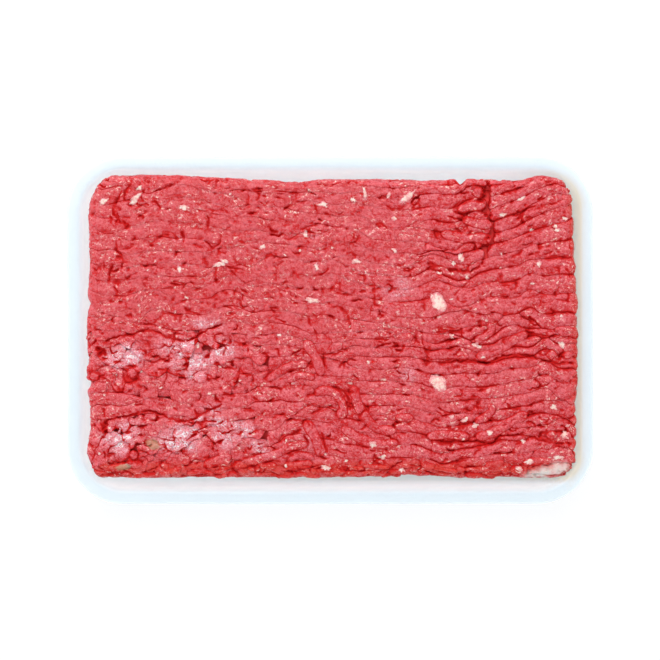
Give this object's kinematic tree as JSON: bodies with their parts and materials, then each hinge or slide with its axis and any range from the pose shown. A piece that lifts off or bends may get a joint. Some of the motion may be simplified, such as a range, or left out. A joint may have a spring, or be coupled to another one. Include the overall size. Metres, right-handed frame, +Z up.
{
  "type": "tray pack of ground meat",
  "caption": "Shallow white foam tray with a flat rim and rounded corners, filled to just above the rim with a pressed block of raw ground meat strands.",
  "frame": {"origin": "on the ground under the middle of the tray", "axes": "+X along the tray's long side, +Y along its short side, +Z up out of the tray"},
  "size_m": [0.21, 0.139, 0.0268],
  "materials": {
    "white_foam": "satin skin of white foam, slightly cool",
    "raw_meat": "moist raw ground beef with small pale fat specks"
  },
  "bodies": {
    "root": {"tray": "white_foam", "ground_meat": "raw_meat"}
  },
  "joints": []
}
